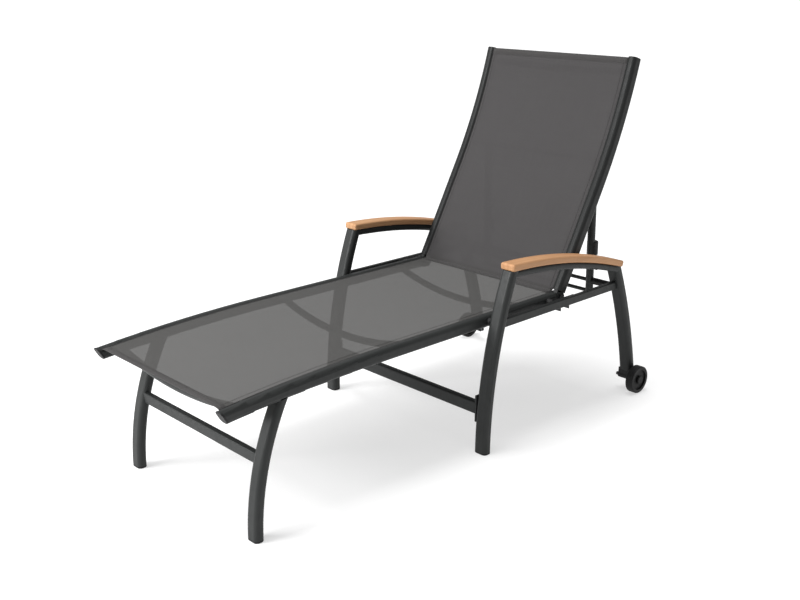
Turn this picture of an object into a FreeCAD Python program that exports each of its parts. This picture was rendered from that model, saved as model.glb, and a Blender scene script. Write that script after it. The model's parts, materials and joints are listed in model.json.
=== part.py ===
import FreeCAD, Part
import math
import os

import Sketcher

# Reclining sun lounger: two armrest frames carry a sling seat, a hinged sling backrest with a swinging prop,
# two fixed front legs and two wheels.
# Millimetres. +X to the right, +Y from the foot end to the head end, +Z up.
# The origin is on the floor, within 3 mm of midway between the foot-end caps and the back of the wheels.

SIDES = {"left": -1, "right": 1}

DIMENSIONS = {
    # side rails of the seat and the backrest
    "rail_x": 283,
    "rail_width": 30,
    "rail_depth": 35,
    "back_rail_depth": 40,
    "rail_corner": 12,
    "tube_wall": 2,
    "cap_length": 7,
    "foot_cap_thickness": 5,
    "foot_bevel_angle": 24.5,
    "foot_bevel_inset": 9,
    "plug_length": 22,
    "plug_gap": 0.3,
    # seat
    "seat_axis_z": 376.5,
    "seat_bend_y": -250,
    "seat_bend_radius": 5950,
    "foot_end_y": -787,
    "sling_lift": 16,
    "sling_thickness": 3,
    "sling_gap": 0.5,
    "seat_sling_reach": 16,
    "back_sling_reach": 5,
    # backrest hinge and backrest
    "hinge_y": 428,
    "hinge_reach": 21,
    "hinge_flange": 3,
    "hinge_ear": 8,
    "hinge_ear_radius": 17,
    "hinge_tongue_radius": 16,
    "hinge_side_gap": 0.3,
    "hinge_pin_radius": 4,
    "hinge_head_radius": 7,
    "hinge_head_height": 3,
    "running_gap": 0.05,
    "back_angle": 61,
    "back_straight": 352,
    "back_bend_radius": 1780,
    "back_bend_angle": 13,
    # bowed braces under the slings
    "brace_diameter": 20,
    "brace_dip": 42,
    "foot_brace_dip": 30,
    "brace_drop": 4,
    # front legs
    "front_leg_x": 272,
    "front_leg_y": -697,
    "front_leg_radius": 745,
    "front_leg_width": 42,
    "front_leg_depth": 28,
    "foot_height": 6,
    "front_bar_z": 204.5,
    "front_bar_height": 30,
    "front_bar_depth": 18,
    "bar_corner": 4,
    # armrest frames
    "arm_x": 330,
    "arm_tube_width": 44,
    "arm_tube_depth": 30.5,
    "arm_tube_corner": 12,
    "arm_leg_y": 55.5,
    "arm_leg_radius": 1450,
    "rear_leg_radius": 1600,
    "rear_leg_centre_y": -816,
    "rear_leg_centre_z": -211,
    "rear_leg_bottom_z": 66,
    "arm_arc_y": 112,
    "arm_arc_z": -1245,
    "arm_arc_radius": 1770,
    "arm_top_depth": 20,
    "arm_top_corner": 8,
    "weld_land": 2,
    "armrest_width": 51,
    "armrest_thickness": 20,
    "armrest_front_y": 138,
    "armrest_rear_y": 660,
    "armrest_round": 6,
    "side_rail_z": 375,
    "side_rail_height": 25,
    "side_rail_width": 15,
    "side_rail_corner": 3,
    # bar between the armrest frames
    "low_bar_z": 130.5,
    "low_bar_y": 61.5,
    "low_bar_height": 38,
    "low_bar_depth": 22,
    "low_bar_corner": 6,
    "flange_height": 80,
    "flange_depth": 26,
    "flange_thickness": 5,
    "flange_bolt_spacing": 58,
    "bolt_radius": 3,
    "bolt_head_radius": 5.5,
    "bolt_head_height": 4,
    # bolts and spacers between the seat rails and the armrest frames
    "frame_bolt_radius": 4,
    "frame_bolt_head_radius": 7,
    "spacer_radius": 11,
    "front_bolt_y": 106,
    "rear_bolt_y": 368,
    # notched hinge plates on the side rails
    "plate_thickness": 5,
    "plate_front_y": 342,
    "plate_length": 119,
    "plate_height": 22,
    "tooth_length": 46,
    "tooth_pitch": 40,
    "tooth_depth": 18,
    # prop behind the backrest
    "prop_x": 220,
    "prop_foot_y": 678,
    "prop_foot_z": 364,
    "prop_length": 390,
    "prop_tie_drop": 36,
    "prop_lean": 1.5,
    "prop_diameter": 25,
    "prop_rod_radius": 6,
    "glide_radius": 9,
    "glide_length": 11,
    "bushing_radius": 11,
    "bushing_length": 74,
    "collar_radius": 18,
    "collar_length": 46,
    "collar_height": 106,
    "collar_offset": 8,
    # wheels
    "wheel_x": 374,
    "wheel_y": 752.5,
    "wheel_radius": 45,
    "wheel_width": 26,
    "wheel_round": 3,
    "wheel_recess_depth": 5,
    "wheel_recess_radius": 33,
    "hub_radius": 14,
    "axle_radius": 6,
    "axle_tip_x": 296,
    "carrier_radius": 10,
    "washer_radius": 10,
    "hub_cap_height": 3,
    # screws that hold the armrests
    "screw_radius": 2.5,
    "screw_head_radius": 4.5,
    "screw_head_height": 3,
    "screw_depth": 12,
}


class Size:
    """A length or angle: its number, and the spreadsheet expression that it comes from."""

    def __init__(self, number, text=None):
        self.number = float(number)
        self.text = text if text is not None else repr(float(number))

    def combine(self, other, symbol, number):
        text = other.text if isinstance(other, Size) else repr(float(other))
        return Size(number, f"({self.text} {symbol} {text})")

    def __add__(self, other):
        return self.combine(other, "+", self.number + number_of(other))

    def __sub__(self, other):
        return self.combine(other, "-", self.number - number_of(other))

    def __mul__(self, other):
        return self.combine(other, "*", self.number * number_of(other))

    def __truediv__(self, other):
        return self.combine(other, "/", self.number / number_of(other))


def number_of(value):
    return value.number if isinstance(value, Size) else float(value)


def make_sheet(doc):
    sheet = doc.addObject("Spreadsheet::Sheet", "dims")
    for row, (alias, value) in enumerate(DIMENSIONS.items(), start=1):
        sheet.set(f"A{row}", alias)
        sheet.set(f"B{row}", str(value))
        sheet.setAlias(f"B{row}", alias)
    doc.recompute()
    return sheet


doc = FreeCAD.newDocument("lounger")
sheet = make_sheet(doc)
parts = {}


def size(alias):
    return Size(getattr(sheet, alias), f"dims.{alias}")


def value(alias):
    return float(getattr(sheet, alias))


def bind(obj, **sizes):
    for name, length in sizes.items():
        obj.setExpression(name, length.text)


def place(obj, x=0.0, y=0.0, z=0.0, turn_x=0.0):
    """Puts an object at a point, turned about the X axis by an angle in degrees."""
    rotation = FreeCAD.Rotation(FreeCAD.Vector(1, 0, 0), turn_x)
    obj.Placement = FreeCAD.Placement(FreeCAD.Vector(x, y, z), rotation)
    return obj


def keep(label, obj):
    """Registers an object as the sub-part of that name."""
    obj.Label = label
    parts[label] = obj
    return obj


# ---------------------------------------------------------------- sketches and swept bars


def new_body(name):
    return doc.addObject("PartDesign::Body", name)


def origin_plane(body, role):
    return next(item for item in body.Origin.OriginFeatures if item.Role == role)


def new_sketch(body, role):
    sketch = body.newObject("Sketcher::SketchObject", body.Name + "_sketch")
    sketch.AttachmentSupport = [(origin_plane(body, role), "")]
    sketch.MapMode = "FlatFace"
    return sketch


def add_dimension(sketch, name, length, *reference):
    index = sketch.addConstraint(Sketcher.Constraint(*reference, length.number))
    sketch.renameConstraint(index, name)
    sketch.setExpression("Constraints." + name, length.text)


def draw_rounded_rectangle(sketch, tag, centre_y, width, height, corner):
    """A rounded rectangle centred on the sketch's vertical axis, at centre_y along it."""
    half_w, half_h, r = width.number / 2, height.number / 2, corner.number
    mid = centre_y.number
    normal = FreeCAD.Vector(0, 0, 1)
    corners = [(1, -1, -90), (1, 1, 0), (-1, 1, 90), (-1, -1, 180)]
    arcs = []
    for sx, sy, start in corners:
        centre = FreeCAD.Vector(sx * (half_w - r), mid + sy * (half_h - r), 0)
        circle = Part.Circle(centre, normal, r)
        arc = Part.ArcOfCircle(circle, math.radians(start), math.radians(start + 90))
        arcs.append(sketch.addGeometry(arc, False))
    ends = [
        ((-(half_w - r), mid - half_h), (half_w - r, mid - half_h)),
        ((half_w, mid - half_h + r), (half_w, mid + half_h - r)),
        ((half_w - r, mid + half_h), (-(half_w - r), mid + half_h)),
        ((-half_w, mid + half_h - r), (-half_w, mid - half_h + r)),
    ]
    lines = [
        sketch.addGeometry(Part.LineSegment(FreeCAD.Vector(*a, 0), FreeCAD.Vector(*b, 0)), False)
        for a, b in ends
    ]
    for line, arc, following in zip(lines, arcs, lines[1:] + lines[:1]):
        sketch.addConstraint(Sketcher.Constraint("Tangent", line, 2, arc, 1))
        sketch.addConstraint(Sketcher.Constraint("Tangent", arc, 2, following, 1))
    for arc in arcs[1:]:
        sketch.addConstraint(Sketcher.Constraint("Equal", arcs[0], arc))
    for line, direction in zip(lines, ("Horizontal", "Vertical", "Horizontal", "Vertical")):
        sketch.addConstraint(Sketcher.Constraint(direction, line))
    add_dimension(sketch, tag + "corner", corner, "Radius", arcs[0])
    add_dimension(sketch, tag + "width", width, "DistanceX", lines[3], 1, lines[1], 1)
    add_dimension(sketch, tag + "height", height, "DistanceY", lines[0], 1, lines[2], 1)
    add_dimension(sketch, tag + "across", width / 2 - corner, "DistanceX", -1, 1, arcs[1], 3)
    add_dimension(sketch, tag + "along", centre_y + height / 2 - corner, "DistanceY", -1, 1, arcs[1], 3)


def draw_circle(sketch, tag, centre_y, radius):
    centre = FreeCAD.Vector(0, centre_y.number, 0)
    circle = sketch.addGeometry(Part.Circle(centre, FreeCAD.Vector(0, 0, 1), radius.number), False)
    sketch.addConstraint(Sketcher.Constraint("PointOnObject", circle, 3, -2))
    add_dimension(sketch, tag + "radius", radius, "Radius", circle)
    add_dimension(sketch, tag + "along", centre_y, "DistanceY", -1, 1, circle, 3)


def draw_section(sketch, centre_y, section, wall):
    """Outer outline of a bar, and its bore when it has a wall thickness."""
    if "radius" in section:
        draw_circle(sketch, "outer_", centre_y, section["radius"])
        if wall:
            draw_circle(sketch, "inner_", centre_y, section["radius"] - wall)
        return
    width, height, corner = section["width"], section["height"], section["corner"]
    draw_rounded_rectangle(sketch, "outer_", centre_y, width, height, corner)
    if wall:
        draw_rounded_rectangle(sketch, "inner_", centre_y, width - wall * 2, height - wall * 2, corner - wall)


def bent_bar(name, section, bend, angle, forward=False, straight=None, wall=None, role="XZ_Plane", middle=False):
    """A bar bent round the body's X axis (Y axis on the YZ plane), from the top of a circle of radius bend.

    It turns towards -Y, or towards +Y when forward; straight adds a tangent run on the other side.
    """
    body = new_body(name)
    sketch = new_sketch(body, role)
    draw_section(sketch, bend, section, wall)
    turn = body.newObject("PartDesign::Revolution", name + "_bend")
    turn.Profile = sketch
    turn.ReferenceAxis = (sketch, ["H_Axis"])
    turn.Reversed = forward
    turn.Midplane = middle
    bind(turn, Angle=angle)
    if straight:
        run = body.newObject("PartDesign::Pad", name + "_run")
        run.Profile = sketch
        run.Reversed = True
        bind(run, Length=straight)
    return body


def straight_bar(name, section, length, wall=None, role="YZ_Plane", middle=True):
    """A bar along X (along Y on the XZ plane, along Z on the XY plane)."""
    body = new_body(name)
    sketch = new_sketch(body, role)
    draw_section(sketch, Size(0), section, wall)
    run = body.newObject("PartDesign::Pad", name + "_run")
    run.Profile = sketch
    run.Midplane = middle
    bind(run, Length=length)
    return body


# ---------------------------------------------------------------- primitives and booleans


def box(name, x_size, y_size, z_size, x, y, z):
    """A block whose low corner is at x, y, z."""
    block = doc.addObject("Part::Box", name)
    bind(block, Length=x_size, Width=y_size, Height=z_size)
    return place(block, x, y, z)


def rod(name, radius, length, x, y, z, axis="X"):
    """A cylinder that starts at x, y, z and runs along +X or +Z."""
    cylinder = doc.addObject("Part::Cylinder", name)
    bind(cylinder, Radius=radius, Height=length)
    rotation = FreeCAD.Rotation(FreeCAD.Vector(0, 1, 0), 90 if axis == "X" else 0)
    cylinder.Placement = FreeCAD.Placement(FreeCAD.Vector(x, y, z), rotation)
    return cylinder


def cut(name, base, *tools):
    result = doc.addObject("Part::Cut", name)
    result.Base = base
    result.Tool = tools[0] if len(tools) == 1 else group(name + "_tools", *tools)
    return result


def fuse(name, *shapes):
    result = doc.addObject("Part::MultiFuse", name)
    result.Shapes = list(shapes)
    return result


def common(name, base, tool):
    result = doc.addObject("Part::Common", name)
    result.Base = base
    result.Tool = tool
    return result


def group(name, *shapes):
    result = doc.addObject("Part::Compound", name)
    result.Links = list(shapes)
    return result


def rounded(name, base, radius, chosen):
    """Rounds the edges of base that chosen accepts."""
    doc.recompute()
    edges = [i for i, edge in enumerate(base.Shape.Edges, start=1) if chosen(edge)]
    result = doc.addObject("Part::Fillet", name)
    result.Base = base
    result.Edges = [(i, radius, radius) for i in edges]
    return result


# ---------------------------------------------------------------- shared measures

WALL = size("tube_wall")
RAIL = {"width": size("rail_width"), "height": size("rail_depth"), "corner": size("rail_corner")}
BACK_RAIL = {"width": size("rail_width"), "height": size("back_rail_depth"), "corner": size("rail_corner")}
ARM_TUBE = {"width": size("arm_tube_width"), "height": size("arm_tube_depth"), "corner": size("arm_tube_corner")}
FRONT_LEG = {"width": size("front_leg_width"), "height": size("front_leg_depth"), "corner": size("rail_corner")}

RAIL_INNER_X = value("rail_x") - value("rail_width") / 2
RAIL_OUTER_X = value("rail_x") + value("rail_width") / 2
ARM_INNER_X = value("arm_x") - value("arm_tube_width") / 2
SIDE_RAIL_INNER_X = value("arm_x") - value("side_rail_width") / 2

SEAT_FOOT_ANGLE = math.degrees(
    math.asin((value("seat_bend_y") - value("foot_end_y")) / value("seat_bend_radius"))
)
SEAT_CENTRE_Z = value("seat_axis_z") - value("seat_bend_radius")


def back_point(distance, behind=0.0):
    """Point in the YZ plane on the backrest rail's centreline, distance along it from the hinge axis."""
    start = math.radians(value("back_angle"))
    straight = min(distance, value("back_straight"))
    y = value("hinge_y") + straight * math.cos(start)
    z = value("seat_axis_z") + straight * math.sin(start)
    turn = max(0.0, distance - value("back_straight")) / value("back_bend_radius")
    bend = value("back_bend_radius")
    y += bend * (math.sin(start + turn) - math.sin(start))
    z -= bend * (math.cos(start + turn) - math.cos(start))
    heading = start + turn
    return y + behind * math.sin(heading), z - behind * math.cos(heading), math.degrees(heading)


BACK_LENGTH = value("back_straight") + value("back_bend_radius") * math.radians(value("back_bend_angle"))


def back_bend_centre():
    start = math.radians(value("back_angle"))
    y, z, _ = back_point(value("back_straight"))
    bend = value("back_bend_radius")
    return y - bend * math.sin(start), z + bend * math.cos(start)


def seat_drop(y):
    """How far the seat rail's centreline has bent down at a station y."""
    bend = value("seat_bend_radius")
    reach = max(0.0, value("seat_bend_y") - y)
    return bend - math.sqrt(bend * bend - reach * reach)


def leg_offset(radius, height):
    """How far a leg that stands upright on the floor has leaned back at a height."""
    return radius - math.sqrt(radius * radius - height * height)


def rear_leg_y(height):
    radius = value("rear_leg_radius")
    rise = height - value("rear_leg_centre_z")
    return value("rear_leg_centre_y") + math.sqrt(radius * radius - rise * rise)


def armrest_angle(y):
    """Angle from the vertical, at the centre of the armrest's arch, of a station y on its underside."""
    return math.degrees(math.asin((y - value("arm_arc_y")) / value("arm_arc_radius")))


# ---------------------------------------------------------------- seat


def seat_bar(name, section, lift, wall=None, rear=None):
    """A bar that follows the seat rails, lift above their centreline."""
    rear = rear if rear else size("hinge_y") - size("hinge_reach")
    body = bent_bar(
        name,
        section,
        size("seat_bend_radius") + lift,
        Size(SEAT_FOOT_ANGLE),
        straight=rear - size("seat_bend_y"),
        wall=wall,
    )
    return body


def plug_section(rail):
    """The section of a plug that slides into a rail's bore."""
    step = WALL + size("plug_gap")
    return {"width": rail["width"] - step * 2, "height": rail["height"] - step * 2, "corner": rail["corner"] - step}


def make_end_cap(name, section, x, y, z, turn_x, sign):
    """A moulded cap and its plug, closing a rail whose end is at x, y, z; sign is the cap's side along local Y."""
    cap = straight_bar(name + "_cap", section, size("cap_length"), role="XZ_Plane", middle=False)
    plug = straight_bar(name + "_plug", plug_section(section), size("plug_length"), role="XZ_Plane", middle=False)
    run = doc.getObject(name + "_cap_run")
    run.Reversed = sign > 0
    doc.getObject(name + "_plug_run").Reversed = sign < 0
    round_cap = rounded(name + "_round", cap, 3.0, lambda edge: abs(edge.BoundBox.Center.y) > 1)
    both = fuse(name, round_cap, plug)
    return place(both, x, y, z, turn_x)


def foot_slab(name, thickness, x):
    """A slab that lies on the seat rails' bevelled foot end, thick towards the foot end."""
    y = value("foot_end_y") + value("foot_bevel_inset")
    turn = SEAT_FOOT_ANGLE + value("foot_bevel_angle")
    slab = box(name, Size(60), thickness, Size(80), 0, 0, 0)
    rotation = FreeCAD.Rotation(FreeCAD.Vector(1, 0, 0), turn)
    corner = FreeCAD.Vector(x - 30, y, value("seat_axis_z") - seat_drop(y))
    corner += rotation.multVec(FreeCAD.Vector(0, -thickness.number, -40))
    slab.Placement = FreeCAD.Placement(corner, rotation)
    return slab


def make_foot_cap(name, x):
    """A thin moulded plate on the bevelled end of a seat rail, with a plug that fills the rail's bore behind it."""
    y = value("foot_end_y") + value("foot_bevel_inset")
    z = value("seat_axis_z") - seat_drop(y)
    bar = straight_bar(name + "_bar", RAIL, Size(60), role="XZ_Plane")
    plate = common(name + "_plate", place(bar, x, y, z, SEAT_FOOT_ANGLE),
                   foot_slab(name + "_slab", size("foot_cap_thickness"), x))
    soft = rounded(name + "_soft", plate, 1.5, lambda edge: edge.BoundBox.YMin < y - 3 and abs(
        foot_depth(edge.BoundBox.Center, y, z) - value("foot_cap_thickness")) < 0.5)
    core = straight_bar(name + "_core", plug_section(RAIL), Size(44), role="XZ_Plane")
    plug = cut(name + "_plug", place(core, x, y, z, SEAT_FOOT_ANGLE), foot_slab(name + "_outside", Size(60), x))
    return fuse(name, soft, plug)


def foot_depth(point, y, z):
    """How far a point lies outside the bevelled end of the seat rails."""
    turn = math.radians(SEAT_FOOT_ANGLE + value("foot_bevel_angle"))
    return -(point.y - y) * math.cos(turn) - (point.z - z) * math.sin(turn)


def make_seat():
    for side, sign in SIDES.items():
        rail = seat_bar(f"seat_rail_{side}_tube", RAIL, Size(0), wall=WALL)
        place(rail, sign * value("rail_x"), value("seat_bend_y"), SEAT_CENTRE_Z)
        holes = [
            rod(f"seat_rail_{side}_hole_{i}", size("frame_bolt_radius"), Size(60), sign * value("rail_x") - 30, y,
                value("seat_axis_z"))
            for i, y in enumerate((value("front_bolt_y"), value("rear_bolt_y")))
        ]
        beyond = foot_slab(f"seat_rail_{side}_bevel", Size(60), sign * value("rail_x"))
        keep(f"seat_rail_{side}", cut(f"seat_rail_{side}_drilled", rail, beyond, *holes))
    caps = [make_foot_cap(f"seat_cap_{side}", sign * value("rail_x")) for side, sign in SIDES.items()]
    keep("seat_end_caps", group("seat_end_caps", *caps))

    sling_section = {
        "width": size("rail_x") * 2 - size("rail_width") - size("sling_gap") * 2,
        "height": size("sling_thickness"),
        "corner": Size(1),
    }
    sling = seat_bar("seat_sling", sling_section, size("sling_lift"), rear=size("hinge_y") - size("seat_sling_reach"))
    keep("seat_sling", place(sling, 0, value("seat_bend_y"), SEAT_CENTRE_Z))


def make_brace(label, y, z, dip, turn_x, solid_rails):
    """A round tube bowed away from the sling, coped to the two rails."""
    half = RAIL_INNER_X
    bend = (half * half + dip.number ** 2) / (2 * dip.number)
    reach = math.degrees(math.asin((half + 5) / bend))
    body = bent_bar(
        label + "_tube", {"radius": size("brace_diameter") / 2}, Size(bend), Size(2 * reach), role="YZ_Plane",
        middle=True, wall=WALL,
    )
    flip = FreeCAD.Rotation(FreeCAD.Vector(1, 0, 0), 180)
    turn = FreeCAD.Rotation(FreeCAD.Vector(1, 0, 0), turn_x)
    offset = turn.multVec(FreeCAD.Vector(0, 0, bend - dip.number))
    body.Placement = FreeCAD.Placement(FreeCAD.Vector(0, y, z) + offset, turn.multiply(flip))
    return keep(label, cut(label, body, *solid_rails))


def make_seat_braces():
    solids = []
    for side, sign in SIDES.items():
        solid = seat_bar(f"seat_rail_{side}_solid", RAIL, Size(0))
        solids.append(place(solid, sign * value("rail_x"), value("seat_bend_y"), SEAT_CENTRE_Z))
    stations = {
        "foot_brace": (-721, size("foot_brace_dip")),
        "middle_brace": (-177, size("brace_dip")),
        "rear_brace": (310, size("brace_dip")),
    }
    for label, (y, dip) in stations.items():
        z = value("seat_axis_z") - seat_drop(y) - value("brace_drop")
        make_brace(label, y, z, dip, 0.0, solids)
    return solids


# ---------------------------------------------------------------- front legs


def upright_leg(name, section, radius, top_z, x, y, wall=None):
    """A leg that starts upright at the floor and bends backwards as it rises to top_z."""
    end = math.degrees(math.asin(top_z / radius.number))
    body = bent_bar(name, section, radius, Size(end), forward=True, wall=wall)
    return place(body, x, y + radius.number, 0, 90)


def make_foot(name, section, x, y):
    pad = straight_bar(name + "_pad", section, size("foot_height"), role="XY_Plane", middle=False)
    foot = rounded(name, pad, 2.0, lambda edge: edge.BoundBox.ZMax < 0.1)
    return place(foot, x, y, 0)


def make_front_legs(solid_rails):
    top = value("seat_axis_z") - 10
    feet, solids = [], []
    radius = size("front_leg_radius")
    section = {"width": FRONT_LEG["width"], "height": FRONT_LEG["height"], "corner": FRONT_LEG["corner"]}
    for side, sign in SIDES.items():
        where = (sign * value("front_leg_x"), value("front_leg_y"))
        tube = upright_leg(f"front_leg_{side}_tube", section, radius, top, *where, wall=WALL)
        solids.append(upright_leg(f"front_leg_{side}_solid", section, radius, top, *where))
        reach = box(f"front_leg_{side}_reach", Size(100), Size(300), size("seat_axis_z") - size("foot_height"),
                    sign * value("rail_x") - 50, value("front_leg_y") - 50, value("foot_height"))
        trimmed = common(f"front_leg_{side}_trim", tube, reach)
        keep(f"front_leg_{side}", cut(f"front_leg_{side}", trimmed, solid_rails[0 if sign < 0 else 1]))
        feet.append(make_foot(f"front_foot_{side}", section, where[0], where[1]))
    keep("front_feet", group("front_feet", *feet))
    bar_section = {"width": size("front_bar_depth"), "height": size("front_bar_height"), "corner": size("bar_corner")}
    bar = straight_bar("front_crossbar_tube", bar_section, size("front_leg_x") * 2 - 20, wall=WALL)
    y = value("front_leg_y") + leg_offset(value("front_leg_radius"), value("front_bar_z"))
    place(bar, 0, y, value("front_bar_z"))
    keep("front_crossbar", cut("front_crossbar", bar, *solids))


# ---------------------------------------------------------------- armrest frames


def arch_bar(name, section, radial, start_angle, end_angle, x, wall=None):
    """A bar that follows the armrest's arch at a radius, between two angles from the vertical."""
    body = bent_bar(name, section, radial, Size(end_angle - start_angle), forward=True, wall=wall)
    return place(body, x, value("arm_arc_y"), value("arm_arc_z"), -start_angle)


def rear_leg(name, x, wall=None, section=None, shift=Size(0)):
    """A leg that leans forward as it rises; shift moves its section outwards from the centre of its arc."""
    radius = size("rear_leg_radius")
    low = math.degrees(math.asin((value("rear_leg_bottom_z") - value("rear_leg_centre_z")) / radius.number))
    high = math.degrees(math.asin((470 - value("rear_leg_centre_z")) / radius.number))
    body = bent_bar(name, section or ARM_TUBE, radius + shift, Size(high - low), wall=wall)
    return place(body, x, value("rear_leg_centre_y"), value("rear_leg_centre_z"), low - 90)


def make_armrest(side, x):
    """A teak slat arched to the frame, with rounded ends and edges."""
    section = {"width": size("armrest_width"), "height": size("armrest_thickness"), "corner": size("armrest_round")}
    radial = size("arm_arc_radius") + size("armrest_thickness") / 2
    start, end = armrest_angle(value("armrest_front_y")), armrest_angle(value("armrest_rear_y"))
    slat = arch_bar(f"armrest_{side}_slat", section, radial, start, end, x)
    long_reach = value("armrest_rear_y") - value("armrest_front_y")

    def at_an_end(edge):
        return edge.BoundBox.YLength < long_reach / 2

    return rounded(f"armrest_{side}_rounded", slat, value("armrest_round") - 0.5, at_an_end)


def make_armrest_frames():
    feet, screws = [], []
    leg_radius = size("arm_leg_radius")
    leg_top = 535.0
    for side, sign in SIDES.items():
        x = sign * value("arm_x")
        teak = make_armrest(side, x)
        where = (x, value("arm_leg_y"))
        front = upright_leg(f"arm_leg_{side}_tube", ARM_TUBE, leg_radius, leg_top, *where, wall=WALL)
        front_solid = upright_leg(f"arm_leg_{side}_solid", ARM_TUBE, leg_radius, leg_top, *where)
        rear = rear_leg(f"rear_leg_{side}_tube", x, wall=WALL)
        rear_solid = rear_leg(f"rear_leg_{side}_solid", x)

        top_section = {
            "width": size("arm_tube_width"), "height": size("arm_top_depth"), "corner": size("arm_top_corner"),
        }
        top_radial = size("arm_arc_radius") - size("arm_top_depth") / 2
        top_ends = (armrest_angle(value("arm_leg_y") + 84), armrest_angle(rear_leg_y(430) + 4))
        top = arch_bar(f"arm_top_{side}_bar", top_section, top_radial, *top_ends, x, wall=WALL)

        beyond = {"width": size("arm_tube_width") + 16, "height": Size(40), "corner": Size(2)}
        shift = Size(20) - size("weld_land")
        above = arch_bar(f"armrest_{side}_above", beyond, size("arm_arc_radius") + 20, armrest_angle(90),
                         armrest_angle(710), x)
        front_beyond = upright_leg(f"arm_leg_{side}_beyond", beyond, leg_radius + shift, leg_top + 8, x,
                                   where[1] - shift.number)
        rear_beyond = rear_leg(f"rear_leg_{side}_beyond", x, section=beyond, shift=shift)

        drills = []
        for i, y in enumerate((230, 560)):
            angle = armrest_angle(y)
            depth = size("arm_top_depth") + size("screw_depth")
            foot_of_screw = value("arm_arc_radius") - value("arm_top_depth")
            for kind, radius, length, start in (
                ("shank", size("screw_radius"), depth, foot_of_screw),
                ("head", size("screw_head_radius"), size("screw_head_height"),
                 foot_of_screw - value("screw_head_height")),
            ):
                shape = rod(f"screw_{side}_{i}_{kind}", radius, length, 0, 0, 0, axis="Z")
                turn = FreeCAD.Rotation(FreeCAD.Vector(1, 0, 0), -angle)
                centre = FreeCAD.Vector(x, value("arm_arc_y"), value("arm_arc_z"))
                shape.Placement = FreeCAD.Placement(centre + turn.multVec(FreeCAD.Vector(0, 0, start)), turn)
                drills.append(shape)
            screws.append(fuse(f"screw_{side}_{i}", *drills[-2:]))

        keep(f"armrest_{side}", cut(f"armrest_{side}", teak, *drills))
        keep(f"arm_top_tube_{side}", cut(f"arm_top_tube_{side}", top, front_solid, rear_solid, front_beyond, rear_beyond,
                                           *drills))

        bolt_y = value("arm_leg_y") + leg_offset(leg_radius.number, value("seat_axis_z"))
        bores = [rod(f"arm_leg_{side}_bore", size("frame_bolt_radius"), Size(30),
                     sign * ARM_INNER_X - 15, value("front_bolt_y"), value("seat_axis_z"))]
        for z_sign in (-1, 1):
            z = value("low_bar_z") + z_sign * value("flange_bolt_spacing") / 2
            bores.append(rod(f"arm_leg_{side}_bore_{z_sign + 1}", size("bolt_radius"), Size(30),
                             sign * ARM_INNER_X - 15, value("low_bar_y"), z))
        below = box(f"arm_leg_{side}_below", Size(80), Size(80), size("foot_height"), x - 40, where[1] - 40, 0)
        keep(f"arm_front_leg_{side}", cut(f"arm_front_leg_{side}", front, above, below, *bores))

        axle_bore = rod(f"rear_leg_{side}_bore", size("prop_rod_radius") + size("running_gap"), Size(24),
                        sign * ARM_INNER_X - 12, value("prop_foot_y"), value("prop_foot_z"))
        keep(f"rear_leg_{side}", cut(f"rear_leg_{side}", rear, above, axle_bore))

        rail_section = {
            "width": size("side_rail_width"), "height": size("side_rail_height"), "corner": size("side_rail_corner"),
        }
        start_y = bolt_y + 4
        end_y = rear_leg_y(value("side_rail_z")) - 4
        rail = straight_bar(f"side_rail_{side}_tube", rail_section, Size(end_y - start_y), wall=WALL,
                            role="XZ_Plane", middle=False)
        place(rail, x, end_y, value("side_rail_z"))
        keep(f"side_rail_{side}", cut(f"side_rail_{side}", rail, front_solid, rear_solid))
        feet.append(make_foot(f"arm_foot_{side}", ARM_TUBE, where[0], where[1]))
    keep("arm_feet", group("arm_feet", *feet))
    keep("armrest_screws", group("armrest_screws", *screws))


def make_low_crossbar():
    section = {"width": size("low_bar_depth"), "height": size("low_bar_height"), "corner": size("low_bar_corner")}
    half = ARM_INNER_X - value("flange_thickness")
    bar = straight_bar("lower_crossbar", section, Size(2 * half), wall=WALL)
    keep("lower_crossbar", place(bar, 0, value("low_bar_y"), value("low_bar_z")))
    flanges, bolts = [], []
    for side, sign in SIDES.items():
        x_low = min(sign * half, sign * ARM_INNER_X)
        plate = box(f"flange_{side}_plate", size("flange_thickness"), size("flange_depth"), size("flange_height"),
                    x_low, value("low_bar_y") - value("flange_depth") / 2,
                    value("low_bar_z") - value("flange_height") / 2)
        drills = []
        for i, z_sign in enumerate((-1, 1)):
            z = value("low_bar_z") + z_sign * value("flange_bolt_spacing") / 2
            reach = value("flange_thickness") + 10
            shank_x = half if sign > 0 else -half - reach
            head_x = half - value("bolt_head_height") if sign > 0 else -half
            shank = rod(f"flange_{side}_shank_{i}", size("bolt_radius"), Size(reach), shank_x,
                        value("low_bar_y"), z)
            head = rod(f"flange_{side}_head_{i}", size("bolt_head_radius"), size("bolt_head_height"), head_x,
                       value("low_bar_y"), z)
            drills.append(shank)
            bolts.append(fuse(f"flange_{side}_bolt_{i}", shank, head))
        flanges.append(cut(f"flange_{side}", plate, *drills))
    keep("crossbar_flanges", group("crossbar_flanges", *flanges))
    keep("flange_bolts", group("flange_bolts", *bolts))


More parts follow.
